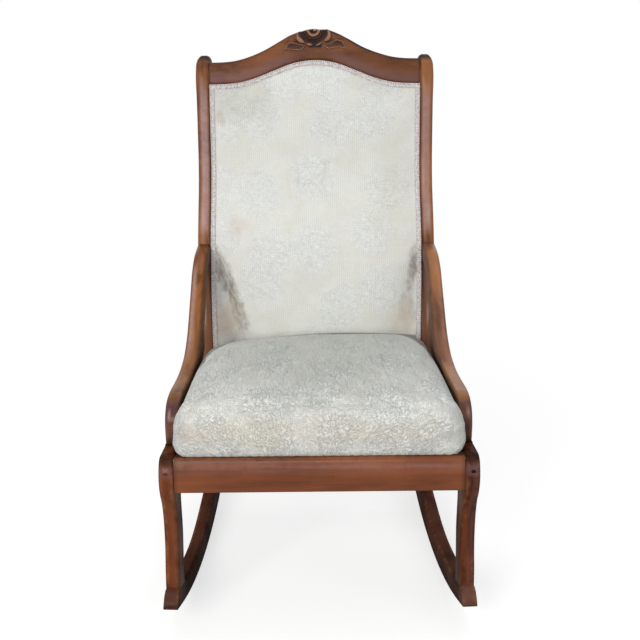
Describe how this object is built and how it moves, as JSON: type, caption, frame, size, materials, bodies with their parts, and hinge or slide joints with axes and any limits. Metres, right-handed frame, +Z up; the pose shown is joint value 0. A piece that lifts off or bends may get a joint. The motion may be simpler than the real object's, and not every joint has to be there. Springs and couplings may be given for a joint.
{
  "type": "rocking chair",
  "caption": "Upholstered rocking chair with curved rockers, swept hip rests, a sprung seat, a padded back and a crest rail carved with a rose.",
  "frame": {"origin": "middle of the chair's bounding box, on the floor under the rockers", "axes": "+X to the viewer's right across the chair, +Y from the front to the back, +Z up"},
  "size_m": [0.56, 0.782, 1.0294],
  "materials": {
    "frame_wood": "satin red-brown stain",
    "dark_wood": "satin dark stain",
    "plain_wood": "bare hardwood",
    "steel": "plain steel",
    "jute": "woven webbing",
    "hessian": "coarse weave",
    "cotton_padding": "cotton wadding",
    "ivory_cover": "tone-on-tone floral damask",
    "braid": "woven gimp braid",
    "dust_cloth": "black cambric"
  },
  "bodies": {
    "root": {"left_rocker": "frame_wood", "right_rocker": "frame_wood", "left_front_leg": "frame_wood", "right_front_leg": "frame_wood", "left_side_rail": "frame_wood", "right_side_rail": "frame_wood", "front_seat_rail": "frame_wood", "rear_seat_rail": "dark_wood", "left_back_post": "frame_wood", "right_back_post": "frame_wood", "left_arm": "frame_wood", "right_arm": "frame_wood", "crest_rail": "frame_wood", "lower_back_rail": "dark_wood", "left_tacking_strip": "plain_wood", "right_tacking_strip": "plain_wood", "corner_blocks": "plain_wood", "corner_block_screws": "steel", "seat_rail_dowels": "plain_wood", "back_rail_dowels": "plain_wood", "arm_dowels": "plain_wood", "leg_dowels": "plain_wood", "rocker_screws": "steel", "knee_screws": "steel", "knee_plugs": "dark_wood", "seat_frame_front": "plain_wood", "seat_frame_rear": "plain_wood", "seat_frame_left": "plain_wood", "seat_frame_right": "plain_wood", "seat_webbing_lengthwise": "jute", "seat_webbing_crosswise": "jute", "seat_springs": "steel", "seat_hessian": "hessian", "seat_padding": "cotton_padding", "seat_cover": "ivory_cover", "dust_cover": "dust_cloth", "dust_cover_tacks": "steel", "back_webbing_upright": "jute", "back_webbing_crosswise": "jute", "back_hessian": "hessian", "back_padding": "cotton_padding", "back_cover": "ivory_cover", "back_gimp": "braid", "outside_back_cover": "ivory_cover", "outside_back_gimp": "braid"}
  },
  "joints": []
}
